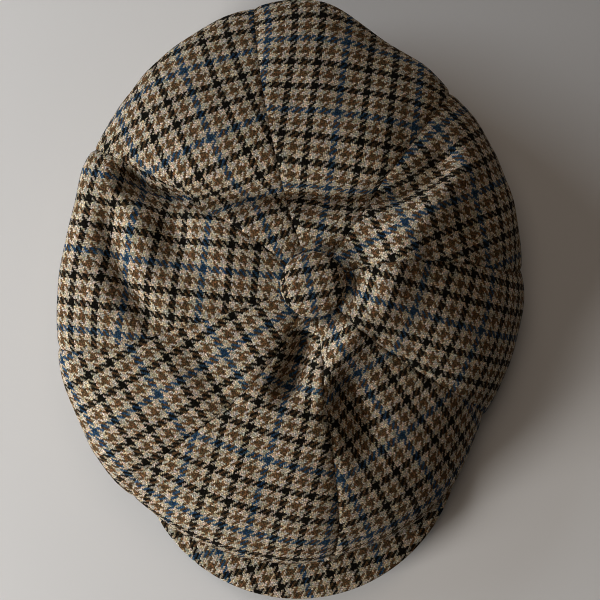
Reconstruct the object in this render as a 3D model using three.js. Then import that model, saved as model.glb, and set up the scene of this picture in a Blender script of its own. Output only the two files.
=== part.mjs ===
// Baker boy cap: an eight-panel crown of soft tweed on an oval head band, with a short stiff peak
// and a covered button. It stands on its band and peak, as it would on a table.
// Units are millimetres, +Z is up, and the peak points towards -Y, turned a little to +X.

import * as THREE from 'three';

// ---- Driving dimensions ----

const WALL = 2.0; // crown cloth, with its seam turnings
const GAP = 0.3; // clearance between neighbouring pieces

const APEX = new THREE.Vector2( 12.6, 7.0 ); // where the panels meet, under the button
const APEX_HOLE = 5.0; // radius of the small gap between the panel tips
const CROWN_TOP = 76.0; // height of the crown's cloth under the button
const PUFF = 2.4; // how far a panel swells between its seams

const FRONT = - 80.0; // azimuth, in degrees, that the head band and the peak face
const BAND = { x: - 7.0, y: - 15.0, halfWidth: 84.0, halfLength: 101.0, wall: 2.5, height: 30.0 };
const BAND_LIFT = 24.0; // the peak holds the band's front this far off the table
const BAND_LIFT_SPAN = 75.0; // degrees each side of the front over which the lift fades
const BAND_SEAM = 3.0; // the crown joins the band this far below its top

const PEAK = { x: 3.7, y: - 76.7, radius: 94.8, thickness: 3.5, halfAngle: 68.0 };
const PEAK_FRONT_RISE = 16.0; // underside of the front edge above the table, in the middle
const PEAK_ROOT_RISE = 0.6; // underside of the peak above the band's lower rim
const PEAK_CORNER = 8; // power that rounds the peak's two ends

const BUTTON = { radius: 18.5, height: 9.0, edge: 3.2 };

// How far the crown's outline reaches from the apex, by azimuth anticlockwise from +X.
const OUTLINE = [
	{ azimuth: 0, reach: 119.0 }, { azimuth: 15, reach: 119.7 }, { azimuth: 30, reach: 121.2 },
	{ azimuth: 45, reach: 127.3 }, { azimuth: 60, reach: 133.5 }, { azimuth: 75, reach: 139.5 },
	{ azimuth: 90, reach: 157.0 }, { azimuth: 105, reach: 157.0 }, { azimuth: 120, reach: 151.0 },
	{ azimuth: 135, reach: 146.0 }, { azimuth: 150, reach: 143.5 }, { azimuth: 165, reach: 137.0 },
	{ azimuth: 180, reach: 139.5 }, { azimuth: 195, reach: 145.5 }, { azimuth: 210, reach: 149.0 },
	{ azimuth: 225, reach: 155.0 }, { azimuth: 240, reach: 155.5 }, { azimuth: 255, reach: 155.0 },
	{ azimuth: 270, reach: 155.5 }, { azimuth: 285, reach: 146.7 }, { azimuth: 300, reach: 139.4 },
	{ azimuth: 315, reach: 127.0 }, { azimuth: 330, reach: 120.0 }, { azimuth: 345, reach: 118.1 },
];

// The crown's side, by azimuth: the height of its widest line, how far the rolled edge sags below
// its line to the band, and the two powers of the top's fall, which follows
// ( 1 - share of the reach ** shoulder ) ** slope.
const SIDE = [
	{ azimuth: 0, widest: 18.0, sag: 10.0, shoulder: 4.0, slope: 0.60 },
	{ azimuth: 45, widest: 34.0, sag: 20.0, shoulder: 3.5, slope: 0.35 },
	{ azimuth: 90, widest: 42.0, sag: 25.0, shoulder: 2.0, slope: 0.575 },
	{ azimuth: 135, widest: 40.0, sag: 25.0, shoulder: 2.0, slope: 0.40 },
	{ azimuth: 180, widest: 36.0, sag: 25.0, shoulder: 2.0, slope: 0.25 },
	{ azimuth: 225, widest: 33.0, sag: 16.0, shoulder: 2.0, slope: 0.40 },
	{ azimuth: 270, widest: 30.0, sag: 6.0, shoulder: 2.0, slope: 0.375 },
	{ azimuth: 315, widest: 20.0, sag: 6.0, shoulder: 2.5, slope: 0.65 },
];

// Azimuth of each seam beside the button, half way out and at the rim, anticlockwise.
const SEAMS = [
	{ inner: 20.0, middle: 7.5, rim: 4.6 }, // right
	{ inner: 56.0, middle: 55.0, rim: 54.5 }, // back right
	{ inner: 108.4, middle: 104.5, rim: 102.0 }, // back
	{ inner: 142.5, middle: 146.0, rim: 148.3 }, // back left
	{ inner: 198.8, middle: 197.5, rim: 193.5 }, // left
	{ inner: 244.0, middle: 230.5, rim: 230.5 }, // front left
	{ inner: 275.5, middle: 276.8, rim: 273.2 }, // front
	{ inner: 315.0, middle: 321.5, rim: 322.5 }, // front right
];

// Ridges and valleys of the crown's top: each is a soft line through a few plan points.
const FOLDS = [
	{
		name: 'back dome', height: 10.0, width: 22.0,
		path: [ [ - 70, 80 ], [ - 30, 82 ], [ 20, 82 ], [ 66, 86 ] ],
	},
	{ name: 'back ridge', height: 3.0, width: 20.0, path: [ [ 4, 85 ], [ - 4, 125 ] ] },
	{
		name: 'back valley', height: - 13.0, width: 4.6,
		path: [
			[ - 92, 70 ], [ - 77, 57 ], [ - 51, 53 ], [ - 12, 54 ],
			[ 28, 53 ], [ 56, 57 ], [ 76, 66 ], [ 88, 77 ],
		],
	},
	{
		name: 'left pocket', height: - 8.0, width: 8.0,
		path: [ [ - 88, 68 ], [ - 73, 56 ], [ - 63, 42 ], [ - 63, 24 ] ],
	},
	{ name: 'left ridge', height: 1.0, width: 7.0, path: [ [ - 88, 42 ], [ - 82, 20 ] ] },
	{
		name: 'outer valley', height: - 7.0, width: 5.5,
		path: [ [ - 97, 52 ], [ - 98, 29 ], [ - 90, 8 ], [ - 76, - 10 ] ],
	},
	{ name: 'left plateau', height: 3.0, width: 9.0, path: [ [ - 36, 30 ], [ - 30, 8 ] ] },
	{
		name: 'side valley', height: - 3.0, width: 7.0,
		path: [ [ - 76, - 14 ], [ - 52, - 24 ], [ - 38, - 50 ] ],
	},
	{ name: 'lower left ridge', height: 2.0, width: 8.0, path: [ [ - 68, - 36 ], [ - 52, - 60 ] ] },
	{
		name: 'button pocket', height: - 12.0, width: 4.0,
		path: [ [ 9, - 18 ], [ 4, - 36 ], [ - 3, - 52 ] ],
	},
	{
		name: 'button ridge', height: 3.0, width: 7.0,
		path: [ [ - 10, - 20 ], [ - 16, - 36 ], [ - 20, - 54 ] ],
	},
	{ name: 'front ridge', height: 9.0, width: 6.2, path: [ [ 38, - 13 ], [ 27, - 30 ], [ 18, - 56 ] ] },
	{ name: 'front crest', height: 4.0, width: 18.0, path: [ [ 12, - 70 ], [ 10, - 110 ] ] },
	{
		name: 'right hollow', height: - 6.0, width: 18.0,
		path: [ [ 52, - 30 ], [ 62, - 60 ], [ 66, - 85 ] ],
	},
	{
		name: 'right pocket', height: - 10.0, width: 7.5,
		path: [ [ 26, - 40 ], [ 33, - 60 ], [ 44, - 80 ] ],
	},
	{
		name: 'main ridge', height: 8.0, width: 10.0,
		path: [ [ 94, 76 ], [ 78, 52 ], [ 62, 32 ], [ 53, 10 ], [ 48, - 8 ], [ 44, - 22 ] ],
	},
	{
		name: 'right shoulder', height: 2.0, width: 15.5,
		path: [ [ 90, 60 ], [ 85, 34 ], [ 79, 6 ], [ 70, - 20 ] ],
	},
	{
		name: 'right plateau', height: 5.0, width: 17.0,
		path: [ [ 70, 30 ], [ 66, 8 ], [ 58, - 16 ] ],
	},
];
const FOLD_START = { from: 19.0, to: 32.0 }; // distance from the apex over which the folds begin
const FOLD_END = 0.10; // share of the reach over which they die out before the rim
const FOLD_WIDTH = 6.5; // narrower folds are made this wide and as much shallower
const FOLD_STEP = 0.7; // distance between samples along a fold's line, as a share of its width

// How finely each piece is divided.
const PANEL_COLUMNS = 8;
const TOP_ROWS = 22;
const UNDER_ROWS = 9;
const BAND_SEGMENTS = 72;
const PEAK_SEGMENTS = 40;
const PEAK_ROWS = 6;
const BUTTON_SEGMENTS = 36;

// ---- Small mathematical helpers ----

const radians = THREE.MathUtils.degToRad;
const lerp = THREE.MathUtils.lerp;

function smooth( value, from, to ) {

	return THREE.MathUtils.smoothstep( value, from, to );

}

// A value that follows a table round the full circle, as a smooth closed curve.
function around( rows, key, degrees ) {

	const step = 360 / rows.length;
	const place = ( ( degrees % 360 ) + 360 ) % 360 / step;
	const row = Math.floor( place );
	const u = place - row;
	const at = ( k ) => rows[ ( row + k + rows.length ) % rows.length ][ key ];
	const [ a, b, c, d ] = [ at( - 1 ), at( 0 ), at( 1 ), at( 2 ) ];
	return 0.5 * ( 2 * b + ( c - a ) * u + ( 2 * a - 5 * b + 4 * c - d ) * u * u
		+ ( 3 * b - a - 3 * c + d ) * u * u * u );

}

// ---- The oval of the head band ----

// Distance from a plan point inside the oval to the oval grown by an offset, along an azimuth.
function reachOfOval( from, azimuth, offset ) {

	const a = BAND.halfLength + offset;
	const b = BAND.halfWidth + offset;
	const [ cosine, sine ] = [ Math.cos( radians( FRONT ) ), Math.sin( radians( FRONT ) ) ];
	const dx = Math.cos( azimuth - radians( FRONT ) ) / a;
	const dy = Math.sin( azimuth - radians( FRONT ) ) / b;
	const px = ( ( from.x - BAND.x ) * cosine + ( from.y - BAND.y ) * sine ) / a;
	const py = ( ( from.y - BAND.y ) * cosine - ( from.x - BAND.x ) * sine ) / b;
	const square = dx * dx + dy * dy;
	const half = px * dx + py * dy;
	return ( Math.sqrt( half * half - square * ( px * px + py * py - 1 ) ) - half ) / square;

}

// How far the peak lifts the band's lower rim off the table, by azimuth round the band.
function bandLift( azimuth ) {

	const turn = azimuth - radians( FRONT );
	const fromFront = Math.abs( Math.atan2( Math.sin( turn ), Math.cos( turn ) ) );
	const share = Math.min( fromFront / radians( BAND_LIFT_SPAN ), 1 );
	return BAND_LIFT * ( 0.5 + 0.5 * Math.cos( Math.PI * share ) );

}

// ---- The crown's surface ----

// t runs from 0 at the apex to 1 at the widest line and 2 at the band.
function crownSection( azimuth, t ) {

	const degrees = THREE.MathUtils.radToDeg( azimuth );
	const reach = around( OUTLINE, 'reach', degrees );
	const widest = around( SIDE, 'widest', degrees );
	if ( t <= 1 ) {

		const out = Math.sin( t * Math.PI / 2 );
		const fall = Math.max( 1 - out ** around( SIDE, 'shoulder', degrees ), 0 );
		const share = fall ** around( SIDE, 'slope', degrees );
		return { distance: reach * out, height: lerp( widest, CROWN_TOP, share ) };

	}

	const under = t - 1;
	const inner = reachOfOval( APEX, azimuth, GAP + 0.2 );
	const bandAzimuth = Math.atan2(
		APEX.y + inner * Math.sin( azimuth ) - BAND.y, APEX.x + inner * Math.cos( azimuth ) - BAND.x );
	const joint = bandLift( bandAzimuth ) + BAND.height - BAND_SEAM;
	const sag = around( SIDE, 'sag', degrees ) * Math.max( Math.sin( Math.PI * under ), 0 ) ** 0.9;
	return {
		distance: inner + ( reach - inner ) * Math.cos( under * Math.PI / 2 ),
		height: lerp( widest, joint, under ) - sag,
	};

}

// A fold with its smooth line of points, close enough to add up to a smooth fold.
function spreadFold( { height, width, path } ) {

	const curve = new THREE.CatmullRomCurve3(
		path.map( ( [ x, y ] ) => new THREE.Vector3( x, y, 0 ) ), false, 'catmullrom', 0.5 );
	const wide = Math.max( width, FOLD_WIDTH );
	const line = curve.getPoints( Math.ceil( curve.getLength() / ( FOLD_STEP * wide ) ) );
	return { height: height * width / wide, width: wide, line };

}

const foldLines = FOLDS.map( spreadFold );

// Height that all the folds add at a plan point.
function foldHeight( x, y ) {

	let total = 0;
	for ( const fold of foldLines ) {

		let weight = 0;
		for ( let i = 0; i < fold.line.length - 1; i ++ ) {

			const from = fold.line[ i ];
			const to = fold.line[ i + 1 ];
			const away = ( x - ( from.x + to.x ) / 2 ) ** 2 + ( y - ( from.y + to.y ) / 2 ) ** 2;
			weight += from.distanceTo( to ) * Math.exp( - away / ( 2 * fold.width ** 2 ) );

		}

		total += fold.height * weight / ( fold.width * Math.sqrt( 2 * Math.PI ) );

	}

	return total;

}

// A point of the crown's smooth outer surface, before the panels swell.
function crownPoint( azimuth, t ) {

	const { distance, height } = crownSection( azimuth, t );
	const x = APEX.x + distance * Math.cos( azimuth );
	const y = APEX.y + distance * Math.sin( azimuth );
	const top = t < 1 ? 1 - smooth( Math.sin( t * Math.PI / 2 ), 1 - FOLD_END, 1 ) : 0;
	const fade = top * smooth( distance, FOLD_START.from, FOLD_START.to );
	return new THREE.Vector3( x, y, height + ( fade > 0 ? fade * foldHeight( x, y ) : 0 ) );

}

// The outward direction of that surface.
function crownNormal( azimuth, t ) {

	const step = 0.01;
	const out = crownPoint( azimuth, Math.min( t + step, 2 ) ).sub( crownPoint( azimuth, t - step ) );
	const round = crownPoint( azimuth + step, t ).sub( crownPoint( azimuth - step, t ) );
	return out.cross( round ).normalize();

}

// Azimuth of a seam at t, as a smooth curve through its three values.
function seamAzimuth( seam, t ) {

	const [ a, b, c ] = [ 0.15, 0.5, 1 ];
	const u = THREE.MathUtils.clamp( t, a, c );
	const degrees = seam.inner * ( u - b ) * ( u - c ) / ( ( a - b ) * ( a - c ) )
		+ seam.middle * ( u - a ) * ( u - c ) / ( ( b - a ) * ( b - c ) )
		+ seam.rim * ( u - a ) * ( u - b ) / ( ( c - a ) * ( c - b ) );
	return radians( degrees );

}

// ---- Solids ----

// A closed solid through sections. Each section holds an outer and an inner line of equal length.
function loft( sections, closed ) {

	const count = sections[ 0 ].outer.length;
	const positions = [];
	for ( const { outer, inner } of sections ) {

		for ( const point of [ ...outer, ...inner ] ) positions.push( point.x, point.y, point.z );

	}

	const index = [];
	const quad = ( a, b, c, d ) => index.push( a, b, c, a, c, d );
	const outerAt = ( s, k ) => ( s % sections.length ) * 2 * count + k;
	const innerAt = ( s, k ) => outerAt( s, k ) + count;
	const last = closed ? sections.length : sections.length - 1;
	for ( let s = 0; s < last; s ++ ) {

		for ( let k = 0; k < count - 1; k ++ ) {

			quad( outerAt( s, k ), outerAt( s, k + 1 ), outerAt( s + 1, k + 1 ), outerAt( s + 1, k ) );
			quad( innerAt( s, k ), innerAt( s + 1, k ), innerAt( s + 1, k + 1 ), innerAt( s, k + 1 ) );

		}

		quad( outerAt( s, 0 ), outerAt( s + 1, 0 ), innerAt( s + 1, 0 ), innerAt( s, 0 ) );
		const end = count - 1;
		quad( outerAt( s, end ), innerAt( s, end ), innerAt( s + 1, end ), outerAt( s + 1, end ) );

	}

	if ( ! closed ) {

		for ( let k = 0; k < count - 1; k ++ ) {

			quad( outerAt( 0, k ), innerAt( 0, k ), innerAt( 0, k + 1 ), outerAt( 0, k + 1 ) );
			quad( outerAt( last, k ), outerAt( last, k + 1 ), innerAt( last, k + 1 ), innerAt( last, k ) );

		}

	}

	const geometry = new THREE.BufferGeometry();
	geometry.setAttribute( 'position', new THREE.Float32BufferAttribute( positions, 3 ) );
	geometry.setIndex( index );
	geometry.computeVertexNormals();
	return geometry;

}

// One crown panel, between two seams, from its tip under the button round to the band.
function panelGeometry( from, to ) {

	const rows = TOP_ROWS + UNDER_ROWS;
	const sections = [];
	for ( let i = 0; i <= PANEL_COLUMNS; i ++ ) {

		const across = i / PANEL_COLUMNS;
		const section = { outer: [], inner: [] };
		for ( let j = 0; j <= rows; j ++ ) {

			const shape = j <= TOP_ROWS ? j / TOP_ROWS : 1 + ( j - TOP_ROWS ) / UNDER_ROWS;
			const start = 2 / Math.PI * Math.asin( APEX_HOLE / 135 );
			const t = Math.max( shape, start + ( 1 - start ) * Math.min( shape, 1 ) );
			const edge = crownSection( seamAzimuth( from, t ), t ).distance;
			const turn = GAP / 2 / edge;
			const azimuth = lerp( seamAzimuth( from, t ) + turn, seamAzimuth( to, t ) - turn, across );
			const point = crownPoint( azimuth, t );
			const normal = j < rows ? crownNormal( azimuth, t ) : new THREE.Vector3( 0, 0, - 1 );
			const swell = PUFF * ( 1 - Math.abs( 2 * across - 1 ) ** 2.5 )
				* smooth( t, 0.2, 0.7 ) * ( 1 - smooth( t, 1.5, 2 ) );
			section.outer.push( point.clone().addScaledVector( normal, swell ) );
			section.inner.push( point.clone().addScaledVector( normal, swell - WALL ) );

		}

		sections.push( section );

	}

	return loft( sections, false );

}

// The oval head band, whose lower rim rises at the front where the peak is sewn on.
function bandGeometry() {

	const sections = [];
	for ( let i = 0; i < BAND_SEGMENTS; i ++ ) {

		const azimuth = 2 * Math.PI * i / BAND_SEGMENTS;
		const lift = bandLift( azimuth );
		const wall = ( offset ) => {

			const reach = reachOfOval( BAND, azimuth, offset );
			const x = BAND.x + reach * Math.cos( azimuth );
			const y = BAND.y + reach * Math.sin( azimuth );
			return [ new THREE.Vector3( x, y, lift + BAND.height ), new THREE.Vector3( x, y, lift ) ];

		};

		sections.push( { outer: wall( 0 ), inner: wall( - BAND.wall ) } );

	}

	return loft( sections, true );

}

// Distance from the band's centre to the circle of the peak's front edge, along an azimuth.
function reachOfPeak( azimuth ) {

	const px = BAND.x - PEAK.x;
	const py = BAND.y - PEAK.y;
	const half = px * Math.cos( azimuth ) + py * Math.sin( azimuth );
	return Math.sqrt( half * half - ( px * px + py * py - PEAK.radius ** 2 ) ) - half;

}

// The peak: a stiff crescent, arched from side to side, that slopes down to its front edge.
function peakGeometry() {

	const sections = [];
	for ( let i = 0; i <= PEAK_SEGMENTS; i ++ ) {

		const side = - Math.cos( Math.PI * i / PEAK_SEGMENTS ); // -1 at the left end, 1 at the right
		const azimuth = radians( FRONT + side * PEAK.halfAngle );
		const root = reachOfOval( BAND, azimuth, GAP );
		const rounding = Math.sqrt( Math.max( 1 - Math.abs( side ) ** PEAK_CORNER, 0.02 ) );
		const width = ( reachOfPeak( azimuth ) - root ) * rounding;
		const rootRise = bandLift( azimuth ) + PEAK_ROOT_RISE;
		const frontRise = PEAK_FRONT_RISE * Math.max( 1 - ( side / 0.72 ) ** 2, 0 ) ** 1.1;
		const section = { outer: [], inner: [] };
		for ( let j = 0; j <= PEAK_ROWS; j ++ ) {

			const out = Math.sin( Math.PI / 2 * j / PEAK_ROWS ); // rows crowd towards the edge
			const distance = root + width * out;
			const x = BAND.x + distance * Math.cos( azimuth );
			const y = BAND.y + distance * Math.sin( azimuth );
			const middle = lerp( rootRise, frontRise, out ) + PEAK.thickness / 2;
			const fromEdge = width * ( 1 - out );
			const round = Math.max( 1 - fromEdge / ( PEAK.thickness / 2 ), 0 );
			const half = PEAK.thickness / 2 * Math.sqrt( Math.max( 1 - round * round, 0.06 ) );
			section.outer.push( new THREE.Vector3( x, y, middle + half ) );
			section.inner.push( new THREE.Vector3( x, y, middle - half ) );

		}

		sections.push( section );

	}

	return loft( sections, false );

}

// The covered button: a low cushion with a rounded edge, turned about its own axis.
function buttonGeometry() {

	const profile = [ new THREE.Vector2( 0, 0 ) ];
	for ( let i = 0; i <= 5; i ++ ) {

		const turn = - Math.PI / 2 + Math.PI / 2 * i / 5;
		profile.push( new THREE.Vector2(
			BUTTON.radius - BUTTON.edge + BUTTON.edge * Math.cos( turn ),
			BUTTON.edge + BUTTON.edge * Math.sin( turn ) ) );

	}

	for ( let i = 1; i <= 6; i ++ ) {

		const turn = Math.PI / 2 * i / 6;
		profile.push( new THREE.Vector2(
			BUTTON.radius * Math.cos( turn ) ** 0.8,
			BUTTON.edge + ( BUTTON.height - BUTTON.edge ) * Math.sin( turn ) ) );

	}

	profile[ profile.length - 1 ].x = 0;
	const geometry = new THREE.LatheGeometry( profile, BUTTON_SEGMENTS );
	return geometry.rotateX( Math.PI / 2 );

}

// ---- Assembly ----

const tweed = ( color ) => new THREE.MeshStandardMaterial( { color, roughness: 0.95, metalness: 0.0 } );

function piece( name, geometry, color ) {

	const mesh = new THREE.Mesh( geometry, tweed( color ) );
	mesh.name = name;
	return mesh;

}

const cap = new THREE.Group();
SEAMS.forEach( ( seam, i ) => {

	const next = SEAMS[ ( i + 1 ) % SEAMS.length ];
	const turn = i + 1 < SEAMS.length ? 0 : 360;
	const end = { inner: next.inner + turn, middle: next.middle + turn, rim: next.rim + turn };
	cap.add( piece( `crown_panel_${ i + 1 }`, panelGeometry( seam, end ), 0x7c6a52 ) );

} );

const button = piece( 'button', buttonGeometry(), 0x7a6850 );
button.position.set( APEX.x, APEX.y, CROWN_TOP + GAP );
cap.add( button );
cap.add( piece( 'band', bandGeometry(), 0x6f5f49 ) );
cap.add( piece( 'peak', peakGeometry(), 0x75644c ) );

// The origin is the middle of the cap's outline, on the table.
cap.updateMatrixWorld( true );
const box = new THREE.Box3().setFromObject( cap, true );
const middle = box.getCenter( new THREE.Vector3() );
cap.position.set( - middle.x, - middle.y, - box.min.z );

export default cap;
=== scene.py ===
"""Looks of the baker boy cap: tweed panels with their folds, a covered button, a band and a peak.

Everything is in metres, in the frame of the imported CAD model: +Z is up, and the peak points to -Y,
turned a little to +X.
"""

import math

import bmesh
import bpy
import numpy as np
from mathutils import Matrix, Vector


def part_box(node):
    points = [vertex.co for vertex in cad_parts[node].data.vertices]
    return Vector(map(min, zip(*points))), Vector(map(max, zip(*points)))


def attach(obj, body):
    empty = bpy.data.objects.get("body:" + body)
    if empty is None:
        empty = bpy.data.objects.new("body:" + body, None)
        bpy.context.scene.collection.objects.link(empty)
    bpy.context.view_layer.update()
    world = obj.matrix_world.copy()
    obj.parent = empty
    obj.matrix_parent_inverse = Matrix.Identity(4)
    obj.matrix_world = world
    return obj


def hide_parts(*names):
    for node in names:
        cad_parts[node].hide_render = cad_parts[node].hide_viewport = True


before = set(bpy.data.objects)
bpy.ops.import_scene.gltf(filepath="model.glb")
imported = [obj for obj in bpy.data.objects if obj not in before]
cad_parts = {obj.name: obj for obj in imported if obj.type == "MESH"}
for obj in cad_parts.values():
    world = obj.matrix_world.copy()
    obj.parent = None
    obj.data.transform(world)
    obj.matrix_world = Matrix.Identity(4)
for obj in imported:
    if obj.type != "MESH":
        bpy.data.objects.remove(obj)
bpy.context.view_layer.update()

# ---- Sizes, as in the CAD model ----

WALL = 0.0020  # crown cloth
GAP = 0.0003  # clearance between neighbouring CAD pieces
APEX = (0.0126, 0.0070)  # where the panels meet, in the plan that the tables below use
APEX_HOLE = 0.005  # radius of the gap between the panel tips
# The crown's side, every 45 degrees anticlockwise from +X: the height of its widest line, how far
# the rolled edge sags below its line to the band, and the two powers of the top's fall, which
# follows (1 - share of the reach ** shoulder) ** slope.
SIDE = {
    "widest": [0.018, 0.034, 0.042, 0.040, 0.036, 0.033, 0.030, 0.020],
    "sag": [0.010, 0.020, 0.025, 0.025, 0.025, 0.016, 0.006, 0.006],
    "shoulder": [4.0, 3.5, 2.0, 2.0, 2.0, 2.0, 2.0, 2.5],
    "slope": [0.60, 0.35, 0.575, 0.40, 0.25, 0.40, 0.375, 0.65],
}
PUFF = 0.0024  # how far a panel swells between its seams
FRONT = math.radians(-80)  # azimuth that the head band and the peak face
BAND = {"half_length": 0.101, "half_width": 0.084, "wall": 0.0025, "height": 0.030}
BAND_LIFT = 0.024  # the peak holds the band's front this far off the table
BAND_LIFT_SPAN = math.radians(75)  # angle each side of the front over which the lift fades
BAND_SEAM = 0.003  # the crown joins the band this far below its top
BAND_CLEARANCE = 0.0002  # added to the gap between the crown's lower edge and the band
HANG_POWER = 0.9  # how full the sag of the rolled edge is
PEAK = {"radius": 0.0948, "thickness": 0.0035, "half_angle": math.radians(68)}
PEAK_CENTRE = (0.0107, -0.0617)  # of the circle of its front edge, from the band's centre
PEAK_FRONT_RISE = 0.016  # underside of the front edge above the table, in the middle
PEAK_ROOT_RISE = 0.0006  # underside of the peak above the band's lower rim
PEAK_FRONT_SPAN = 0.72  # share of the way to the peak's ends over which that rise is lost
PEAK_FRONT_POWER = 1.1  # how soon it is lost
PEAK_CORNER = 8  # power that rounds the peak's two ends
BUTTON_EDGE = 0.0032  # height of the button's widest line above its base
FOLD_END = 0.10  # share of the reach over which the folds die out before the rim
FOLD_STEP = 0.7  # distance between samples along a fold's line, as a share of its width
SEAM_PLACES = (0.15, 0.5, 1.0)  # of the azimuths in SEAMS: 0 is the apex and 1 the rim
# These two are looks only: the folds begin closer to the button than in the CAD model, and the
# cloth is drawn in under the button's edge, deepest on its right.
FOLD_START = (0.0178, 0.0245)  # distance from the apex over which the folds begin
TUCK = {"radius": 0.0186, "width": 0.0026, "depth": 0.0060}

# How far the crown's outline reaches from the apex, every 15 degrees anticlockwise from +X.
OUTLINE = [
    0.1190, 0.1197, 0.1212, 0.1273, 0.1335, 0.1395, 0.1570, 0.1570, 0.1510, 0.1460, 0.1435, 0.1370,
    0.1395, 0.1455, 0.1490, 0.1550, 0.1555, 0.1550, 0.1555, 0.1467, 0.1394, 0.1270, 0.1200, 0.1181,
]

# Azimuth of each seam in degrees: beside the button, half way out and at the rim.
SEAMS = [
    (20.0, 7.5, 4.6),  # right
    (56.0, 55.0, 54.5),  # back right
    (108.4, 104.5, 102.0),  # back
    (142.5, 146.0, 148.3),  # back left
    (198.8, 197.5, 193.5),  # left
    (244.0, 230.5, 230.5),  # front left
    (275.5, 276.8, 273.2),  # front
    (315.0, 321.5, 322.5),  # front right
]
# How far the cloth of the panel after each seam is turned from straight, in degrees.
GRAIN = [0.0, 6.0, -7.0, 0.0, 4.0, 5.0, 2.5, 2.5]

# Ridges and valleys of the crown's top: name, height, width, plan points.
FOLDS = [
    ("back dome", 0.010, 0.022, [(-0.070, 0.080), (-0.030, 0.082), (0.020, 0.082),
                                 (0.066, 0.086)]),
    ("back ridge", 0.003, 0.020, [(0.004, 0.085), (-0.004, 0.125)]),
    ("back valley", -0.013, 0.0046, [(-0.092, 0.070), (-0.077, 0.057), (-0.051, 0.053),
                                     (-0.012, 0.054), (0.028, 0.053), (0.056, 0.057),
                                     (0.076, 0.066), (0.088, 0.077)]),
    ("left pocket", -0.008, 0.0080, [(-0.088, 0.068), (-0.073, 0.056), (-0.063, 0.042),
                                     (-0.063, 0.024)]),
    ("left ridge", 0.001, 0.007, [(-0.088, 0.042), (-0.082, 0.020)]),
    ("outer valley", -0.007, 0.0055, [(-0.097, 0.052), (-0.098, 0.029), (-0.090, 0.008),
                                      (-0.076, -0.010)]),
    ("left plateau", 0.003, 0.009, [(-0.036, 0.030), (-0.030, 0.008)]),
    ("side valley", -0.003, 0.007, [(-0.076, -0.014), (-0.052, -0.024), (-0.038, -0.050)]),
    ("lower left ridge", 0.002, 0.008, [(-0.068, -0.036), (-0.052, -0.060)]),
    ("button pocket", -0.012, 0.0040, [(0.009, -0.018), (0.004, -0.036), (-0.003, -0.052)]),
    ("button ridge", 0.003, 0.007, [(-0.010, -0.020), (-0.016, -0.036), (-0.020, -0.054)]),
    ("front ridge", 0.009, 0.0062, [(0.038, -0.013), (0.027, -0.030), (0.018, -0.056)]),
    ("front crest", 0.004, 0.018, [(0.012, -0.070), (0.010, -0.110)]),
    ("right hollow", -0.006, 0.018, [(0.052, -0.030), (0.062, -0.060), (0.066, -0.085)]),
    ("right pocket", -0.010, 0.0075, [(0.026, -0.040), (0.033, -0.060), (0.044, -0.080)]),
    ("main ridge", 0.008, 0.010, [(0.094, 0.076), (0.078, 0.052), (0.062, 0.032),
                                  (0.053, 0.010), (0.048, -0.008), (0.044, -0.022)]),
    ("right shoulder", 0.002, 0.0155, [(0.090, 0.060), (0.085, 0.034), (0.079, 0.006),
                                       (0.070, -0.020)]),
    ("right plateau", 0.005, 0.017, [(0.070, 0.030), (0.066, 0.008), (0.058, -0.016)]),
]

# ---- Cloth ----

THREAD = 0.0009  # distance between neighbouring threads
REPEAT = 48  # threads in one repeat of the overcheck
CROSS_LINE = 0.0605  # distance of the first blue cross line from the button

# ---- Places taken from the frame ----

button_low, button_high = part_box("button")
band_low, band_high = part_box("band")
apex = np.array([(button_low.x + button_high.x) / 2, (button_low.y + button_high.y) / 2])
crown_top = button_low.z - GAP  # height of the crown's cloth under the button
band_centre = np.array([(band_low.x + band_high.x) / 2, (band_low.y + band_high.y) / 2])
shift = apex - np.array(APEX)  # from the tables' plan to the frame


# ---- Small mathematical helpers ----

TINY = 1e-9  # keeps the last point of a curve in its last stretch
LATTICE = 64  # cells of the noise before it repeats
LATTICE_SHIFT = 20  # cells that keep the plan clear of the lattice's edge

def smoothstep(value, low, high):
    """0 below low, 1 above high, and a soft ramp between them."""
    share = np.clip((value - low) / (high - low), 0, 1)
    return share * share * (3 - 2 * share)


def lerp(a, b, share):
    return a + (b - a) * share


def smooth_between(a, b, c, d, u):
    """A smooth curve's value at share u of the way from b to c, where a is before and d after."""
    return 0.5 * (2 * b + (c - a) * u + (2 * a - 5 * b + 4 * c - d) * u**2
                  + (3 * b - a - 3 * c + d) * u**3)


def with_ends(values):
    """A row of values with one more at each end, in a straight line."""
    return np.concatenate([[2 * values[0] - values[1]], values, [2 * values[-1] - values[-2]]])


def around(values, degrees):
    """A value that follows a table round the full circle, as a smooth closed curve."""
    values = np.array(values)
    place = np.mod(degrees, 360) / (360 / len(values))
    row = np.floor(place).astype(int)
    u = place - row
    return smooth_between(*(values[(row + k) % len(values)] for k in (-1, 0, 1, 2)), u)


def curve_through(points, steps):
    """A smooth line of steps + 1 points through a few plan points."""
    p = with_ends(np.array(points))
    place = np.linspace(0, len(points) - 1 - TINY, steps + 1)
    row = place.astype(int)
    u = (place - row)[:, None]
    return smooth_between(p[row], p[row + 1], p[row + 2], p[row + 3], u)


def soft_noise(x, y, scale, seed):
    """Smooth noise between about -1 and 1 at plan points, from a seeded lattice."""
    lattice = np.random.default_rng(seed).uniform(-1, 1, (LATTICE, LATTICE))
    px = x / scale + LATTICE_SHIFT
    py = y / scale + LATTICE_SHIFT
    ix = np.floor(px).astype(int)
    iy = np.floor(py).astype(int)

    def at(i, j):
        return lattice[(ix + i) % LATTICE, (iy + j) % LATTICE]

    def ramp(share):
        return share**3 * (share * (6 * share - 15) + 10)

    u = ramp(px - ix)
    v = ramp(py - iy)
    return lerp(lerp(at(0, 0), at(1, 0), u), lerp(at(0, 1), at(1, 1), u), v)


# ---- The oval of the head band ----

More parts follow.
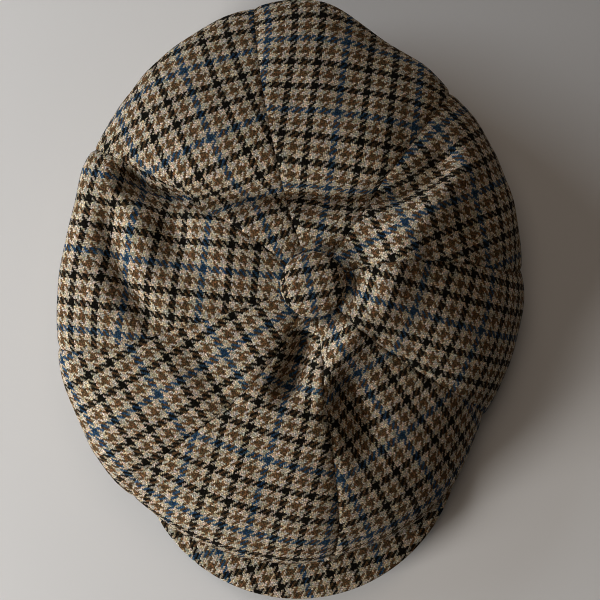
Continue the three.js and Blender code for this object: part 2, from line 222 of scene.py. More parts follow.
def reach_of_oval(start, azimuth, offset):
    """Distance from a plan point inside the band's oval, grown by offset, along an azimuth."""
    a, b = BAND["half_length"] + offset, BAND["half_width"] + offset
    dx, dy = np.cos(azimuth - FRONT) / a, np.sin(azimuth - FRONT) / b
    from_x, from_y = np.asarray(start) - band_centre
    px = (from_x * math.cos(FRONT) + from_y * math.sin(FRONT)) / a
    py = (from_y * math.cos(FRONT) - from_x * math.sin(FRONT)) / b
    square = dx * dx + dy * dy
    half = px * dx + py * dy
    return (np.sqrt(half * half - square * (px * px + py * py - 1)) - half) / square


def band_lift(azimuth):
    """How far the peak lifts the band's lower rim off the table."""
    turn = azimuth - FRONT
    from_front = np.abs(np.arctan2(np.sin(turn), np.cos(turn)))
    share = np.minimum(from_front / BAND_LIFT_SPAN, 1)
    return BAND_LIFT * (0.5 + 0.5 * np.cos(math.pi * share))


# ---- The crown's surface ----

def fold_line(width, path):
    """A fold's line in the frame, as points close enough to add up to a smooth fold."""
    length = np.linalg.norm(np.diff(path, axis=0), axis=1).sum()
    return curve_through(path, math.ceil(length / (FOLD_STEP * width))) + shift


FOLD_LINES = [(height, width, fold_line(width, path)) for name, height, width, path in FOLDS]


def fold_height(x, y):
    """Height that all the folds add at plan points."""
    total = np.zeros_like(x)
    for height, width, line in FOLD_LINES:
        weight = np.zeros_like(x)
        for start, end in zip(line[:-1], line[1:]):
            mx, my = (start + end) / 2
            away = (x - mx) ** 2 + (y - my) ** 2
            weight += np.linalg.norm(end - start) * np.exp(-away / (2 * width**2))
        total += height * weight / (width * math.sqrt(2 * math.pi))
    return total


def crown_points(azimuth, t):
    """Points of the crown's smooth outer side: t is 0 at the apex, 1 at the rim, 2 at the band."""
    degrees = np.degrees(azimuth)
    reach = around(OUTLINE, degrees)
    widest, sag, shoulder, slope = (around(values, degrees) for values in SIDE.values())
    turn = np.minimum(t, 1) * math.pi / 2
    top_height = lerp(widest, crown_top, np.maximum(1 - np.sin(turn) ** shoulder, 0) ** slope)
    under = np.clip(t - 1, 0, 1)
    inner = reach_of_oval(apex, azimuth, GAP + BAND_CLEARANCE)
    band_azimuth = np.arctan2(apex[1] + inner * np.sin(azimuth) - band_centre[1],
                              apex[0] + inner * np.cos(azimuth) - band_centre[0])
    joint = band_lift(band_azimuth) + BAND["height"] - BAND_SEAM
    hang = sag * np.maximum(np.sin(math.pi * under), 0) ** HANG_POWER
    under_height = lerp(widest, joint, under) - hang
    distance = np.where(t <= 1, reach * np.sin(turn),
                        inner + (reach - inner) * np.cos(under * math.pi / 2))
    height = np.where(t <= 1, top_height, under_height)
    x = apex[0] + distance * np.cos(azimuth)
    y = apex[1] + distance * np.sin(azimuth)
    fade = 1 - smoothstep(np.sin(turn), 1 - FOLD_END, 1)
    fade = np.where(t < 1, fade, 0) * smoothstep(distance, *FOLD_START)
    return np.stack([x, y, height + fade * fold_height(x, y)], -1)


def crown_normals(azimuth, t):
    """Outward directions of that surface."""
    step = 0.01
    outward = crown_points(azimuth, np.minimum(t + step, 2)) - crown_points(azimuth, t - step)
    sideways = crown_points(azimuth + step, t) - crown_points(azimuth - step, t)
    normal = np.cross(outward, sideways)
    return normal / np.linalg.norm(normal, axis=-1, keepdims=True)


def seam_azimuth(seam, t):
    """Azimuth of a seam at t, as a smooth curve through its three values."""
    a, b, c = SEAM_PLACES
    u = np.clip(t, a, c)
    degrees = (seam[0] * (u - b) * (u - c) / ((a - b) * (a - c))
               + seam[1] * (u - a) * (u - c) / ((b - a) * (b - c))
               + seam[2] * (u - a) * (u - b) / ((c - a) * (c - b)))
    return np.radians(degrees)


# ---- Flat patterns: each piece of cloth is laid flat, so that its threads run true ----

def grid_faces(rows, columns):
    """Corner numbers of the quads of a grid whose points are numbered row by row."""
    first = (np.arange(rows - 1)[:, None] * columns + np.arange(columns - 1)).ravel()
    return np.stack([first, first + columns, first + columns + 1, first + 1], 1)


LEAST_AREA = 1e-12  # keeps a flat triangle from a division by zero
LEAST_COTANGENT = 0.02  # keeps the weights of blunt triangles positive


def flatten(points, guess, rounds=40):
    """Lays a grid of 3-D points flat with as little stretch as it can, from a first guess."""
    rows, columns = points.shape[:2]
    flat_points = points.reshape(-1, 3)
    quads = grid_faces(rows, columns)
    triangles = np.vstack([quads[:, [0, 1, 2]], quads[:, [0, 2, 3]]])
    a, b, c = (flat_points[triangles[:, k]] for k in range(3))
    length = np.linalg.norm(b - a, axis=1)
    along = ((b - a) * (c - a)).sum(1) / length
    away = np.linalg.norm(np.cross(b - a, c - a), axis=1) / length
    # Each triangle's corners in its own plane.
    local = np.zeros((len(triangles), 3, 2))
    local[:, 1, 0] = length
    local[:, 2, 0] = along
    local[:, 2, 1] = away
    # The stiffness between neighbouring points, which is the same in every round.
    count = len(flat_points)
    matrix = np.zeros((count, count))
    weights = []
    for k in range(3):
        i, j, o = triangles[:, k], triangles[:, (k + 1) % 3], (k + 2) % 3
        u = local[:, k] - local[:, o]
        v = local[:, (k + 1) % 3] - local[:, o]
        cross = np.abs(u[:, 0] * v[:, 1] - u[:, 1] * v[:, 0])
        cotangent = (u * v).sum(1) / np.maximum(cross, LEAST_AREA)
        w = np.maximum(cotangent, LEAST_COTANGENT) / 2
        weights.append(w)
        np.add.at(matrix, (i, i), w)
        np.add.at(matrix, (j, j), w)
        np.add.at(matrix, (i, j), -w)
        np.add.at(matrix, (j, i), -w)
    matrix[0, 0] += 1.0
    inverse = np.linalg.inv(matrix)
    result = guess.reshape(-1, 2).copy()
    for _ in range(rounds):
        # The turn of each triangle that fits the present result best.
        covariance = np.zeros((len(triangles), 2, 2))
        for k in range(3):
            rest = local[:, k] - local[:, (k + 1) % 3]
            now = result[triangles[:, k]] - result[triangles[:, (k + 1) % 3]]
            covariance += weights[k][:, None, None] * now[:, :, None] * rest[:, None, :]
        angle = np.arctan2(covariance[:, 1, 0] - covariance[:, 0, 1],
                           covariance[:, 0, 0] + covariance[:, 1, 1])
        turn = np.stack([np.cos(angle), -np.sin(angle), np.sin(angle), np.cos(angle)], -1)
        turn = turn.reshape(-1, 2, 2)
        # The points that fit those turned triangles best.
        target = np.zeros((count, 2))
        for k in range(3):
            rest = local[:, k] - local[:, (k + 1) % 3]
            push = weights[k][:, None] * np.einsum("nij,nj->ni", turn, rest)
            np.add.at(target, triangles[:, k], push)
            np.add.at(target, triangles[:, (k + 1) % 3], -push)
        target[0] += result[0]
        result = inverse @ target
    return result.reshape(rows, columns, 2)


def refine(coarse, rows, columns):
    """A coarse grid's values on a finer, evenly spread grid, as smooth curves."""

    def along(values, count):
        place = np.linspace(0, len(values) - 1, count)
        row = np.minimum(place.astype(int), len(values) - 2)
        u = (place - row).reshape(-1, *[1] * (values.ndim - 1))
        p = with_ends(values)
        return smooth_between(p[row], p[row + 1], p[row + 2], p[row + 3], u)

    tall = along(coarse, rows)
    return along(tall.transpose(1, 0, 2), columns).transpose(1, 0, 2)


# ---- Meshes ----

WELD = 1e-6  # points closer than this are joined


def make_object(name, points, quads, cloth, material):
    """A smooth mesh object with its cloth coordinates, one pair for each point.

    Points that meet are joined, and each side of such a join keeps its own cloth coordinates.
    """
    mesh = bpy.data.meshes.new(name)
    mesh.from_pydata(points.reshape(-1, 3).tolist(), [], quads.tolist())
    layer = mesh.uv_layers.new(name="cloth")
    corners = np.zeros(len(mesh.loops), int)
    mesh.loops.foreach_get("vertex_index", corners)
    layer.uv.foreach_set("vector", cloth.reshape(-1, 2)[corners].astype(np.float32).ravel())
    welded = bmesh.new()
    welded.from_mesh(mesh)
    bmesh.ops.remove_doubles(welded, verts=welded.verts, dist=WELD)
    bmesh.ops.dissolve_degenerate(welded, edges=welded.edges, dist=WELD / 10)
    welded.to_mesh(mesh)
    welded.free()
    mesh.polygons.foreach_set("use_smooth", [True] * len(mesh.polygons))
    mesh.materials.append(material)
    obj = bpy.data.objects.new(name, mesh)
    bpy.context.scene.collection.objects.link(obj)
    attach(obj, "root")
    return obj


def shell(outer, inner, cloth):
    """Points, quads and cloth coordinates of a closed wall between two grids."""
    rows, columns = outer.shape[:2]
    count = rows * columns
    number = np.arange(count).reshape(rows, columns)
    quads = grid_faces(rows, columns)
    faces = [quads, quads[:, ::-1] + count]
    edges = [number[0, ::-1], number[:, 0], number[-1], number[::-1, -1]]
    for edge in edges:
        a, b = edge[:-1], edge[1:]
        faces.append(np.stack([b, a, a + count, b + count], 1))
    points = np.vstack([outer.reshape(-1, 3), inner.reshape(-1, 3)])
    flat = cloth.reshape(-1, 2)
    return points, np.vstack(faces), np.vstack([flat, flat])


# ---- Materials ----

class Graph:
    """Short ways to add shader nodes to a material."""

    def __init__(self, name):
        self.material = bpy.data.materials.new(name)
        self.material.use_nodes = True
        self.tree = self.material.node_tree
        self.shader = self.tree.nodes["Principled BSDF"]

    def put(self, socket, value):
        if isinstance(value, bpy.types.NodeSocket):
            self.tree.links.new(value, socket)
        else:
            socket.default_value = value

    def math(self, operation, *values):
        node = self.tree.nodes.new("ShaderNodeMath")
        node.operation = operation
        for socket, value in zip(node.inputs, values):
            self.put(socket, value)
        return node.outputs[0]

    def mix(self, factor, a, b, kind="MIX"):
        node = self.tree.nodes.new("ShaderNodeMix")
        node.data_type = "RGBA"
        node.blend_type = kind
        self.put(node.inputs["Factor"], factor)
        self.put(node.inputs["A"], a)
        self.put(node.inputs["B"], b)
        return node.outputs["Result"]

    def join(self, x, y, z):
        node = self.tree.nodes.new("ShaderNodeCombineXYZ")
        for socket, value in zip(node.inputs, (x, y, z)):
            self.put(socket, value)
        return node.outputs[0]

    def noise(self, vector, scale, detail=2.0, roughness=0.5):
        node = self.tree.nodes.new("ShaderNodeTexNoise")
        self.put(node.inputs["Vector"], vector)
        self.put(node.inputs["Scale"], scale)
        self.put(node.inputs["Detail"], detail)
        self.put(node.inputs["Roughness"], roughness)
        return node.outputs["Fac"]

    def steps(self, position, stops):
        """A ramp of flat colours: stops are (start from 0 to 1, colour)."""
        node = self.tree.nodes.new("ShaderNodeValToRGB")
        ramp = node.color_ramp
        ramp.interpolation = "CONSTANT"
        while len(ramp.elements) < len(stops):
            ramp.elements.new(1.0)
        for element, (start, colour) in zip(ramp.elements, stops):
            element.position = start
            element.color = (*colour, 1)
        self.put(node.inputs[0], position)
        return node.outputs["Color"]


# Dyed yarns, as linear colours, and the second colour that each is spun with.
YARN = {
    "cream": (0.44, 0.43, 0.39),
    "brown": (0.062, 0.047, 0.026),
    "dark": (0.0035, 0.0035, 0.0025),
    "blue": (0.011, 0.047, 0.118),
}
FLECK = {
    "cream": (0.485, 0.37, 0.23),
    "brown": (0.165, 0.085, 0.038),
    "dark": (0.010, 0.009, 0.007),
    "blue": (0.032, 0.071, 0.108),
}
# How much of its light the thread on top keeps where a thread of each yarn crosses under it.
KEPT_LIGHT = {
    "cream": (1.0, 1.0, 1.0),
    "brown": (0.95, 0.95, 0.95),
    "dark": (0.60, 0.60, 0.60),
    "blue": (0.74, 0.74, 0.74),
}
# The order of yarns, alike in warp and weft, in groups of four threads.
GROUPS = ["blue", "cream", "brown", "cream", "dark", "cream", "brown", "cream",
          "dark", "cream", "brown", "cream"]
THREADS_A_GROUP = REPEAT // len(GROUPS)
FLOAT = 2  # threads that each thread passes over, and then under, in the twill

# What makes the cloth uneven. Each scale is about the number of spots in a metre.
WAVE = {"scale": 700.0, "width": 0.0020, "second_place": 3.7}  # no yarn lies quite straight
# Each thread is a little lighter or darker, and uneven along its length. The two steps say how
# far apart the noise is taken, from one thread to the next and along a thread.
TONE = {"least": 0.30, "range": 0.72, "step_between": 0.731, "step_along": 0.16}
TONE_PLACES = {"weft": 7.3, "warp": 1.9}  # where in the noise
# Every float, the stretch where one thread lies on top, differs from the next.
OWN = {"tone": 0.70, "hue": 0.16, "place": 2.5}
FLECKS = {"scale": 520.0, "from": 0.40, "gain": 5.0}  # of a yarn's second colour
TUFTS = {"scale": 1100.0, "gain": 3.2, "least": 0.15}  # of loose fibres that stand up
FUZZ = {"scale": 2600.0, "height": 0.55}  # the height is a share of a thread's
BROAD = {"scale": 22.0, "least": 1.00, "range": 0.15}  # lightness over the whole cloth
STRAY = {"scale": 1900.0, "from": 0.62, "gain": 0.8, "colour": (0.42, 0.36, 0.28, 1)}
THREAD_SHADE = {"edge": 0.10, "range": 1.02}  # painted shade: lightness, darkest at a thread's edge where it dips between its neighbours, lightest at its middle
THREAD_ROUND = 1.9  # how round a thread is across: 2 makes it a half circle
BUMP = {"Strength": 0.75, "Distance": 0.00028}
SURFACE = {
    "Roughness": 0.92,
    "Specular IOR Level": 0.02,
    "Sheen Weight": 0.015,
    "Sheen Roughness": 0.6,
    "Sheen Tint": (0.8, 0.72, 0.62, 1),
}


def tweed(name):
    """Woollen houndstooth: a 2/2 twill whose threads change colour in groups of four."""
    g = Graph(name)
    uv = g.tree.nodes.new("ShaderNodeUVMap")
    uv.uv_map = "cloth"
    split = g.tree.nodes.new("ShaderNodeSeparateXYZ")
    g.put(split.inputs[0], uv.outputs[0])

    def thread_number(place, vector):
        """A cloth coordinate in threads, with a little waviness."""
        wave = g.math("SUBTRACT", g.noise(vector, WAVE["scale"], 3.0, 0.7), 0.5)
        place = g.math("ADD", place, g.math("MULTIPLY", wave, WAVE["width"]))
        return g.math("DIVIDE", place, THREAD)

    turned = g.join(split.outputs["Y"], split.outputs["X"], WAVE["second_place"])
    u = thread_number(split.outputs["X"], uv.outputs[0])
    v = thread_number(split.outputs["Y"], turned)
    warp = g.math("FLOOR", u)
    weft = g.math("FLOOR", v)
    across_warp = g.math("SUBTRACT", u, warp)
    across_weft = g.math("SUBTRACT", v, weft)
    phase = g.math("FLOORED_MODULO", g.math("SUBTRACT", warp, weft), 2.0 * FLOAT)
    warp_up = g.math("LESS_THAN", phase, FLOAT - 0.5)
    weft_up = g.math("SUBTRACT", 1.0, warp_up)

    def yarn(index, colours):
        place = g.math("FLOORED_MODULO", index, float(REPEAT))
        place = g.math("DIVIDE", g.math("ADD", place, 0.5), float(REPEAT))
        stops = [(i / len(GROUPS), colours[colour]) for i, colour in enumerate(GROUPS)]
        return g.steps(place, stops)

    def thread_tone(index, along, place):
        """The lightness of a thread, which changes along its length."""
        spot = g.join(g.math("MULTIPLY", index, TONE["step_between"]),
                      g.math("MULTIPLY", along, TONE["step_along"]), place)
        return g.noise(spot, 1.0, 3.0, 0.6)

    tone = g.mix(warp_up, g.join(*[thread_tone(weft, u, TONE_PLACES["weft"])] * 3),
                 g.join(*[thread_tone(warp, v, TONE_PLACES["warp"])] * 3))
    main = g.mix(warp_up, yarn(weft, YARN), yarn(warp, YARN))
    second = g.mix(warp_up, yarn(weft, FLECK), yarn(warp, FLECK))
    flecks = g.noise(uv.outputs[0], FLECKS["scale"], 3.0, 0.7)
    flecks = g.math("MULTIPLY", g.math("SUBTRACT", flecks, FLECKS["from"]), FLECKS["gain"])
    flecks = g.math("MINIMUM", g.math("MAXIMUM", flecks, 0.0), 1.0)
    below = g.mix(warp_up, yarn(warp, KEPT_LIGHT), yarn(weft, KEPT_LIGHT))
    colour = g.mix(1.0, g.mix(flecks, main, second), below, "MULTIPLY")
    # Height of the thread on top, rounded across and arched along its float of two threads.
    side = g.math("ADD", g.math("MULTIPLY", warp_up, across_warp),
                  g.math("MULTIPLY", weft_up, across_weft))
    float_warp = g.math("ADD", g.math("SUBTRACT", 1.0, phase), across_weft)
    float_weft = g.math("ADD", g.math("SUBTRACT", phase, float(FLOAT)), across_warp)
    along = g.math("ADD", g.math("MULTIPLY", warp_up, float_warp),
                   g.math("MULTIPLY", weft_up, float_weft))
    bow = g.math("MULTIPLY", g.math("SUBTRACT", side, 0.5), THREAD_ROUND)
    roundness = g.math("SQRT", g.math("SUBTRACT", 1.0, g.math("MULTIPLY", bow, bow)))
    arch = g.math("SINE", g.math("MULTIPLY", along, math.pi / FLOAT))
    height = g.math("MULTIPLY", roundness, g.math("ADD", 0.5, g.math("MULTIPLY", arch, 0.5)))
    fuzz = g.noise(uv.outputs[0], FUZZ["scale"], 3.0, 0.65)
    relief = g.math("ADD", height, g.math("MULTIPLY", fuzz, FUZZ["height"]))
    own = g.tree.nodes.new("ShaderNodeTexWhiteNoise")
    crossing = g.join(g.math("ADD", warp, 0.5), g.math("ADD", weft, 0.5), OWN["place"])
    g.put(own.inputs["Vector"], crossing)
    # Painted shade: the colour is darker where a thread rounds off towards its neighbours and where
    # it dips under at the ends of its float.
    shade = g.math("MULTIPLY", height, THREAD_SHADE["range"])
    shade = g.math("ADD", THREAD_SHADE["edge"], shade)
    melange = g.math("ADD", TONE["least"], g.math("MULTIPLY", tone, TONE["range"]))
    melange = g.math("ADD", melange, g.math("MULTIPLY", own.outputs["Value"], OWN["tone"]))
    tufts = g.math("SUBTRACT", g.noise(uv.outputs[0], TUFTS["scale"], 3.0, 0.6), 0.5)
    tufts = g.math("ADD", 1.0, g.math("MULTIPLY", tufts, TUFTS["gain"]))
    melange = g.math("MULTIPLY", melange, g.math("MAXIMUM", tufts, TUFTS["least"]))
    broad = g.math("MULTIPLY", g.noise(uv.outputs[0], BROAD["scale"]), BROAD["range"])
    broad = g.math("ADD", BROAD["least"], broad)
    strength = g.math("MULTIPLY", g.math("MULTIPLY", shade, melange), broad)
    dyed = g.mix(1.0, colour, g.join(strength, strength, strength), "MULTIPLY")
    dyed = g.mix(OWN["hue"], dyed, own.outputs["Color"], "MULTIPLY")
    # Pale stray fibres lie over every yarn.
    stray = g.math("SUBTRACT", g.noise(uv.outputs[0], STRAY["scale"], 2.0), STRAY["from"])
    stray = g.math("MAXIMUM", g.math("MULTIPLY", stray, STRAY["gain"]), 0.0)
    g.put(g.shader.inputs["Base Color"], g.mix(stray, dyed, STRAY["colour"]))
    bump = g.tree.nodes.new("ShaderNodeBump")
    for socket, value in BUMP.items():
        bump.inputs[socket].default_value = value
    g.put(bump.inputs["Height"], relief)
    g.put(g.shader.inputs["Normal"], bump.outputs[0])
    for socket, value in SURFACE.items():
        g.shader.inputs[socket].default_value = value
    return g.material


# ---- Pieces ----

COLUMNS = 64  # across a panel
TOP_ROWS = 112  # from its tip to the rim
UNDER_ROWS = 44  # from the rim to the band
USUAL_REACH = 0.135  # of the outline, from the apex
CROWDING = 0.72  # of the columns towards the seams: 0 is even, 1 is full
SWELL_POWER = 2.5  # how flat a panel's swelling is in its middle
SWELL_SPANS = [(0.2, 0.7), (1.5, 2)]  # over which it comes and goes: 1 is the rim, 2 the band
SEAM_DIP = {"depth": 0.0011, "width": 0.0016}
# Small creases beside the seams: how far they reach from them, and where they begin.
PUCKER = {"height": 0.0005, "length": 0.011, "reach": 0.009, "start": 0.003, "seed": 5}
# Small creases all over a panel: height, length and seed, and where they come and go.
DRAPE = [(0.0011, 0.034, 11), (0.0005, 0.015, 12)]
DRAPE_SPANS = [(0.12, 0.3), (1.7, 2)]
COARSE = (40, 17)  # rows and columns of the grid that is laid flat
STRAIGHT_ROWS = (5, 24)  # its rows between which the panel's middle is set straight
PEAK_GRID = (33, 129)  # rows and columns of the peak
PEAK_STEP = 4  # its cloth is laid flat on every fourth of them
PEAK_LEAST = 0.02  # square of the share of its width that is left at its two ends
PEAK_EDGE = 0.06  # square of the share of its thickness that is left at its rounded edge
PEAK_GRAIN = math.radians(16)  # turn of its weft from +X, before the cloth is bent
PEAK_CROSSING = (-0.0418, -0.1437)  # plan point where two blue lines of the peak cross
BAND_GRID = (41, 289)  # points round the band's cross-section and along the band
BAND_SIDES = 1.35  # how straight the two sides of its cross-section are: 1 leaves it oval
BAND_SQUARE = 0.12  # power that squares its top and bottom off: 1 leaves it oval
BUTTON_GRID = (49, 145)  # points from its top to its underside and round it
BUTTON_SHARE = 0.965  # of the CAD button's radius, before its edge goes in and out
BUTTON_UNEVEN = 0.006  # share of the radius by which its edge goes in and out
BUTTON_DENT = 0.0003  # depth of the dents in its top
BUTTON_POWERS = {"above": 0.66, "below": 0.30}  # of its profile, above and below its edge
GATHERS = 17  # folds of the cloth that is drawn in round its edge
GATHERS_START = 0.80  # share of the radius at which they begin
BUTTON_GRAIN = math.radians(11)  # azimuth of the weft on the button
BUTTON_CLOTH = (0.0037, 0.0224)  # cloth coordinates at the button's centre


def panel_parameters(seam, next_seam, rows, columns):
    """Azimuth and t of a panel's grid, with its columns crowded towards the seams."""
    top = round((rows - 1) * TOP_ROWS / (TOP_ROWS + UNDER_ROWS))
    start = 2 / math.pi * math.asin(APEX_HOLE / USUAL_REACH)
    t = np.concatenate([np.linspace(start, 1, top + 1), np.linspace(1, 2, rows - top)[1:]])[:, None]
    even = np.linspace(0, 1, columns)
    across = (even - CROWDING * np.sin(2 * math.pi * even) / (2 * math.pi))[None, :]
    azimuth = lerp(seam_azimuth(seam, t), seam_azimuth(next_seam, t), across)
    return azimuth, np.broadcast_to(t, azimuth.shape), np.broadcast_to(across, azimuth.shape)


def panel_surface(seam, next_seam, rows, columns):
    """The outer grid of one panel with its swelling, seams and small creases, and its normals."""
    azimuth, t, across = panel_parameters(seam, next_seam, rows, columns)
    points = crown_points(azimuth, t)
    normals = crown_normals(azimuth, t)
    normals[-1] = (0, 0, -1)
    comes, goes = SWELL_SPANS
    swell = (PUFF * (1 - np.abs(2 * across - 1) ** SWELL_POWER)
             * smoothstep(t, *comes) * (1 - smoothstep(t, *goes)))
    width = np.linalg.norm(np.diff(points, axis=1), axis=2).sum(1)[:, None]
    from_seam = np.minimum(across, 1 - across) * width
    along = np.cumsum(np.concatenate([np.zeros((1, columns)),
                                      np.linalg.norm(np.diff(points, axis=0), axis=2)]), axis=0)
    seam_dip = -SEAM_DIP["depth"] * np.exp(-from_seam / SEAM_DIP["width"])
    nearer = np.broadcast_to(np.where(across < 0.5, 0.0, 1.0), along.shape)
    wobble = soft_noise(along, nearer, PUCKER["length"], PUCKER["seed"])
    wobble = wobble * np.exp(-from_seam / PUCKER["reach"])
    pucker = PUCKER["height"] * wobble * smoothstep(from_seam, 0, PUCKER["start"])
    x = points[..., 0]
    y = points[..., 1]
    comes, goes = DRAPE_SPANS
    drape = (sum(height * soft_noise(x, y, length, seed) for height, length, seed in DRAPE)
             * (smoothstep(t, *comes) * (1 - smoothstep(t, *goes))))
    from_button = np.hypot(x - apex[0], y - apex[1])
    ring = np.exp(-((from_button - TUCK["radius"]) / TUCK["width"]) ** 2)
    tuck = -TUCK["depth"] * ring * (0.5 + 0.5 * np.cos(azimuth))
    offset = swell + seam_dip + pucker + drape + tuck
    return points + normals * offset[..., None], normals


def lay_flat(seam, next_seam):
    """Cloth coordinates of a panel: v runs out from the button along the panel's middle."""
    rows, columns = COARSE
    azimuth, t, _ = panel_parameters(seam, next_seam, rows, columns)
    points = crown_points(azimuth, t)
    middle = columns // 2
    down = np.linalg.norm(np.diff(points[:, middle], axis=0), axis=1)
    out = APEX_HOLE + np.concatenate([[0], np.cumsum(down)])
    steps = np.linalg.norm(np.diff(points, axis=1), axis=2)
    side = np.concatenate([np.zeros((rows, 1)), np.cumsum(steps, axis=1)], axis=1)
    side -= side[:, middle:middle + 1]
    guess = np.stack([-side, np.broadcast_to(out[:, None], side.shape)], -1)
    flat = flatten(points, guess)
    # Turned so that the middle of the panel's top runs straight out.
    low, high = (flat[row, middle] for row in STRAIGHT_ROWS)
    axis = (high - low) / np.linalg.norm(high - low)
    flat = (flat - low) @ np.array([[axis[1], axis[0]], [-axis[0], axis[1]]])
    return flat + [0, out[STRAIGHT_ROWS[0]]]


def cloth_places(flat, grain):
    """Turns and shifts cloth coordinates, so that two blue lines cross on the panel's middle."""
    middle_of_blue = THREADS_A_GROUP / 2 * THREAD
    turn = math.radians(grain)
    turned = np.array([[math.cos(turn), -math.sin(turn)], [math.sin(turn), math.cos(turn)]])
    return (flat - [0, CROSS_LINE]) @ turned + middle_of_blue


def make_panel(number, seam, next_seam, grain, material):
    rows = TOP_ROWS + UNDER_ROWS + 1
    columns = COLUMNS + 1
    outer, normals = panel_surface(seam, next_seam, rows, columns)
    flat = lay_flat(seam, next_seam)
    cloth = cloth_places(refine(flat, rows, columns), grain)
    obj = make_object(f"panel_{number}", *shell(outer, outer - normals * WALL, cloth), material)
    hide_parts(f"crown_panel_{number}")
    return obj


crown_material = tweed("crown_tweed")
for i, seam in enumerate(SEAMS):
    after = SEAMS[(i + 1) % len(SEAMS)]
    turn = 0 if i + 1 < len(SEAMS) else 360
    make_panel(i + 1, seam, tuple(value + turn for value in after), GRAIN[i], crown_material)


def peak_surfaces(rows, columns):
    """Upper and lower grids of the peak, from its root to its front edge, left to right."""
    side = -np.cos(np.linspace(0, math.pi, columns))[None, :]
    out = np.sin(np.linspace(0, math.pi / 2, rows))[:, None]
    azimuth = FRONT + side * PEAK["half_angle"]
    root = reach_of_oval(band_centre, azimuth, GAP)
    centre_x, centre_y = PEAK_CENTRE
    half = -centre_x * np.cos(azimuth) - centre_y * np.sin(azimuth)
    edge = np.sqrt(half**2 - centre_x**2 - centre_y**2 + PEAK["radius"] ** 2) - half
    width = (edge - root) * np.sqrt(np.maximum(1 - np.abs(side) ** PEAK_CORNER, PEAK_LEAST))
    root_rise = band_lift(azimuth) + PEAK_ROOT_RISE
    fall = np.maximum(1 - (side / PEAK_FRONT_SPAN) ** 2, 0) ** PEAK_FRONT_POWER
    front_rise = PEAK_FRONT_RISE * fall
    distance = root + width * out
    middle = lerp(root_rise, front_rise, out) + PEAK["thickness"] / 2
    near_edge = np.maximum(1 - 2 * width * (1 - out) / PEAK["thickness"], 0)
    half_height = PEAK["thickness"] / 2 * np.sqrt(np.maximum(1 - near_edge**2, PEAK_EDGE))
    x = band_centre[0] + distance * np.cos(azimuth)
    y = band_centre[1] + distance * np.sin(azimuth)
    return np.stack([x, y, middle + half_height], -1), np.stack([x, y, middle - half_height], -1)


def make_peak():
    rows, columns = PEAK_GRID
    upper, lower = peak_surfaces(rows, columns)
    coarse = upper[::PEAK_STEP, ::PEAK_STEP]
    flat = flatten(coarse, coarse[..., :2])
    middle = coarse.shape[1] // 2
    out = flat[-1, middle] - flat[0, middle]
    turn = FRONT - PEAK_GRAIN - math.atan2(out[1], out[0])
    turned = np.array([[math.cos(turn), math.sin(turn)], [-math.sin(turn), math.cos(turn)]])
    cloth = refine(flat @ turned, rows, columns)
    away = np.linalg.norm(upper[..., :2] - (np.array(PEAK_CROSSING) + shift), axis=-1)
    crossing = cloth.reshape(-1, 2)[np.argmin(away)]
    cloth = cloth - crossing + THREADS_A_GROUP / 2 * THREAD
    obj = make_object("peak_cover", *shell(upper, lower, cloth), tweed("peak_tweed"))
    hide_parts("peak")


def make_band():
    """A doubled strip of cloth with soft edges, and its lower rim lifted in front by the peak."""
    rows, columns = BAND_GRID
    azimuth = FRONT + np.linspace(-math.pi, math.pi, columns)[None, :]
    around_wall = np.linspace(0, -2 * math.pi, rows)[:, None]
    half_wall = BAND["wall"] / 2
    # A long loop in cross-section: straight sides and round ends.
    out = np.clip(BAND_SIDES * np.cos(around_wall), -1, 1)
    sine = np.round(np.sin(around_wall), 9)
    up = np.sign(sine) * np.abs(sine) ** BAND_SQUARE
    height = band_lift(azimuth) + BAND["height"] * (0.5 + 0.5 * up)
    reach = reach_of_oval(band_centre, azimuth, -half_wall) + half_wall * out
    x = band_centre[0] + reach * np.cos(azimuth)
    y = band_centre[1] + reach * np.sin(azimuth)
    points = np.stack([x, y, height], -1)
    length = np.linalg.norm(np.diff(points[0], axis=0), axis=1)
    along = np.concatenate([[0], np.cumsum(length)])[None, :]
    cloth = np.stack(np.broadcast_arrays(along, height), -1)
    obj = make_object("band_cloth", points, grid_faces(rows, columns), cloth, tweed("band_tweed"))
    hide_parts("band")


def make_button():
    """A domed button, covered with cloth that is gathered under its edge."""
    rows, columns = BUTTON_GRID
    radius = (button_high.x - button_low.x) / 2
    height = button_high.z - button_low.z
    azimuth = np.linspace(0, 2 * math.pi, columns)[None, :]
    turn = np.linspace(math.pi / 2, -math.pi / 2, rows)[:, None]
    flatness = np.where(turn > 0, BUTTON_POWERS["above"], BUTTON_POWERS["below"])
    share = np.maximum(np.cos(turn), 0) ** flatness
    rise = np.where(turn > 0, height - BUTTON_EDGE, BUTTON_EDGE) * np.sin(turn) + BUTTON_EDGE
    share, rise, azimuth = np.broadcast_arrays(share, rise, azimuth)
    gathers = np.cos(GATHERS * azimuth + 2 * np.sin(3 * azimuth))
    gathers = gathers * smoothstep(share, GATHERS_START, 1)
    uneven = soft_noise(np.cos(azimuth) * share, np.sin(azimuth) * share, 0.5, 21)
    reach = radius * share * (BUTTON_SHARE + BUTTON_UNEVEN * gathers + BUTTON_UNEVEN * uneven)
    dent = BUTTON_DENT * uneven * smoothstep(rise, BUTTON_EDGE, height)
    x = apex[0] + reach * np.cos(azimuth)
    y = apex[1] + reach * np.sin(azimuth)
    points = np.stack([x, y, button_low.z + rise - np.abs(dent)], -1)
    down = np.linalg.norm(np.diff(points, axis=0), axis=2).mean(1)
    spread = np.concatenate([[0], np.cumsum(down)])[:, None]
    turned = azimuth - BUTTON_GRAIN
    cloth = np.stack([spread * np.cos(turned), spread * np.sin(turned)], -1) + BUTTON_CLOTH
    obj = make_object("button_cover", points, grid_faces(rows, columns), cloth,
                      tweed("button_tweed"))
    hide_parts("button")


make_band()
make_peak()
make_button()

# ---- Stage ----

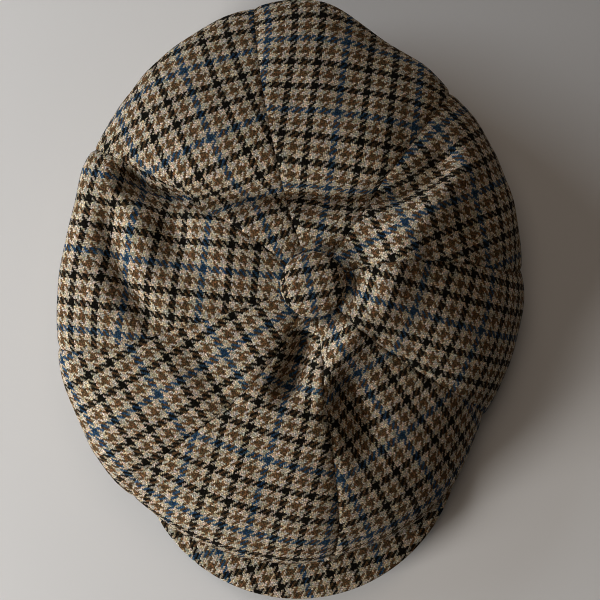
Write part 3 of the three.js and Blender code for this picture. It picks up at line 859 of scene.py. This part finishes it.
FLOOR = {"half_size": 3.0, "colour": (0.66, 0.67, 0.69, 1), "roughness": 0.85}
ROOM_COLOUR = (1.0, 0.82, 0.66)
WORLD_STRENGTH = 0.037
# Two windows on the left, and the room above: name, place, aim, size, power and colour.
LIGHTS = [
    ("window_low", (-1.24, -0.79, 0.55), (0, 0, 0.03), (0.6, 0.6), 26, (1.03, 0.985, 0.92)),
    ("window_high", (-1.33, 0.63, 0.56), (0, 0, 0.03), (0.9, 0.7), 14.0, (0.95, 1.0, 1.03)),
    ("room", (-0.1, 0.65, 1.45), (0, 0, 0), (1.0, 1.0), 3.7, ROOM_COLOUR),
]
FILTER_WIDTH = 1.0  # of the pixel filter: a little sharper than the usual 1.5
VIEW = {
    "width": 0.336,  # of the picture, at the crown's widest line
    "widest_line": 0.036,  # usual height of that line
    "distance": 1.1,  # of the camera above it
    "aim": (0.0053, -0.0014),  # plan point under the camera, as in the tables
}


def make_stage():
    mesh = bpy.data.meshes.new("floor")
    size = FLOOR["half_size"]
    corners = [(-size, -size, 0), (size, -size, 0), (size, size, 0), (-size, size, 0)]
    mesh.from_pydata(corners, [], [(0, 1, 2, 3)])
    floor = bpy.data.objects.new("floor", mesh)
    bpy.context.scene.collection.objects.link(floor)
    g = Graph("floor_paint")
    g.shader.inputs["Base Color"].default_value = FLOOR["colour"]
    g.shader.inputs["Roughness"].default_value = FLOOR["roughness"]
    mesh.materials.append(g.material)


def area_light(name, place, aim, size, power, colour):
    data = bpy.data.lights.new(name, "AREA")
    data.shape = "RECTANGLE"
    data.size, data.size_y = size
    data.energy = power
    data.color = colour
    light = bpy.data.objects.new(name, data)
    light.location = place
    light.rotation_euler = (Vector(aim) - Vector(place)).to_track_quat("-Z", "Y").to_euler()
    bpy.context.scene.collection.objects.link(light)


def make_lights():
    for light in LIGHTS:
        area_light(*light)
    world = bpy.data.worlds.new("world")
    world.use_nodes = True
    background = world.node_tree.nodes["Background"]
    background.inputs["Color"].default_value = (*ROOM_COLOUR, 1)
    background.inputs["Strength"].default_value = WORLD_STRENGTH
    bpy.context.scene.world = world


def make_camera():
    """Straight above the cap, with the back of the cap at the top of the picture."""
    data = bpy.data.cameras.new("camera")
    data.sensor_width = 36
    data.lens = data.sensor_width * VIEW["distance"] / VIEW["width"]
    camera = bpy.data.objects.new("camera", data)
    aim = np.array(VIEW["aim"]) + shift
    camera.location = (aim[0], aim[1], VIEW["widest_line"] + VIEW["distance"])
    bpy.context.scene.collection.objects.link(camera)
    bpy.context.scene.camera = camera


make_stage()
make_lights()
make_camera()

bpy.context.scene.view_settings.view_transform = "Standard"
bpy.context.scene.cycles.filter_width = FILTER_WIDTH
